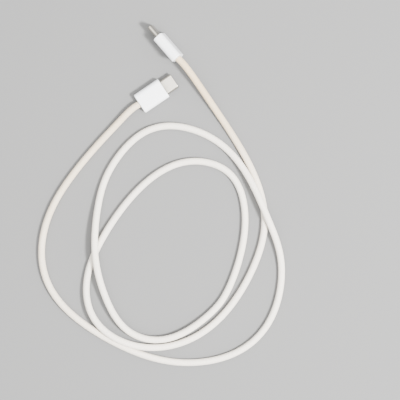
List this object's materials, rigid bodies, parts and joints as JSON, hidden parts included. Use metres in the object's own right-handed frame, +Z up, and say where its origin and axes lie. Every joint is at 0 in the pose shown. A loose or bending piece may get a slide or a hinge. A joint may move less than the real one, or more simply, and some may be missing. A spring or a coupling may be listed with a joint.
{
  "type": "charging cable",
  "caption": "Charging cable: a slim woven cord about a metre long with the same flat reversible plug on both ends, lying in loose loops on a table.",
  "frame": {"origin": "on the table, midway between the outsides of the two plugs", "axes": "+Z up from the table, +X to the right and +Y away from a person who looks at the loops with the plugs at the far side"},
  "size_m": [0.1284, 0.1771, 0.0129],
  "materials": {
    "cord_weave": "tight matte weave",
    "core_rubber": "matte",
    "boot_plastic": "satin gloss",
    "mould_plastic": "satin",
    "shell_steel": "bright nickel",
    "housing_plastic": "matte",
    "contact_gold": "gold plated",
    "spring_steel": "satin",
    "shield_steel": "tinned",
    "card_laminate": "solder mask",
    "ceramic": "matte",
    "solder": "satin",
    "red_insulation": "satin",
    "black_insulation": "satin",
    "green_insulation": "satin",
    "blue_insulation": "satin"
  },
  "bodies": {
    "cable": {"woven_sleeve": "cord_weave", "cable_core": "core_rubber", "boot_a": "boot_plastic", "inner_mould_a": "mould_plastic", "plug_shell_a": "shell_steel", "contact_housing_a": "housing_plastic", "upper_contacts_a": "contact_gold", "lower_contacts_a": "contact_gold", "upper_ground_spring_a": "spring_steel", "lower_ground_spring_a": "spring_steel", "upper_shield_a": "shield_steel", "lower_shield_a": "shield_steel", "paddle_card_a": "card_laminate", "capacitors_a": "ceramic", "solder_joints_a": "solder", "power_wire_a": "red_insulation", "ground_wire_a": "black_insulation", "data_wires_a": "green_insulation", "configuration_wire_a": "blue_insulation", "crimp_ring_a": "shield_steel", "boot_b": "boot_plastic", "inner_mould_b": "mould_plastic", "plug_shell_b": "shell_steel", "contact_housing_b": "housing_plastic", "upper_contacts_b": "contact_gold", "lower_contacts_b": "contact_gold", "upper_ground_spring_b": "spring_steel", "lower_ground_spring_b": "spring_steel", "upper_shield_b": "shield_steel", "lower_shield_b": "shield_steel", "paddle_card_b": "card_laminate", "capacitors_b": "ceramic", "solder_joints_b": "solder", "power_wire_b": "red_insulation", "ground_wire_b": "black_insulation", "data_wires_b": "green_insulation", "configuration_wire_b": "blue_insulation", "crimp_ring_b": "shield_steel"},
    "left_latch_a": {"left_latch_a": "spring_steel"},
    "right_latch_a": {"right_latch_a": "spring_steel"},
    "left_latch_b": {"left_latch_b": "spring_steel"},
    "right_latch_b": {"right_latch_b": "spring_steel"}
  },
  "joints": [
    {"name": "left_latch_a_flex", "type": "hinge", "parent": "cable", "child": "left_latch_a", "pos_m": [0.00045, -0.00715, 0.0028], "axis": [0, 0, 1], "range_deg": [0, 3.2], "stiffness_Nm_per_rad": 0.05},
    {"name": "right_latch_a_flex", "type": "hinge", "parent": "cable", "child": "right_latch_a", "pos_m": [0.00423, -0.01275, 0.0028], "axis": [0, 0, -1], "range_deg": [0, 3.2], "stiffness_Nm_per_rad": 0.05},
    {"name": "left_latch_b_flex", "type": "hinge", "parent": "cable", "child": "left_latch_b", "pos_m": [0.00026, 0.01615, 0.00889], "axis": [0.7329, 0.6624, 0.1553], "range_deg": [0, 3.2], "stiffness_Nm_per_rad": 0.05},
    {"name": "right_latch_b_flex", "type": "hinge", "parent": "cable", "child": "right_latch_b", "pos_m": [0.00159, 0.01623, 0.00228], "axis": [-0.7329, -0.6624, -0.1553], "range_deg": [0, 3.2], "stiffness_Nm_per_rad": 0.05}
  ]
}
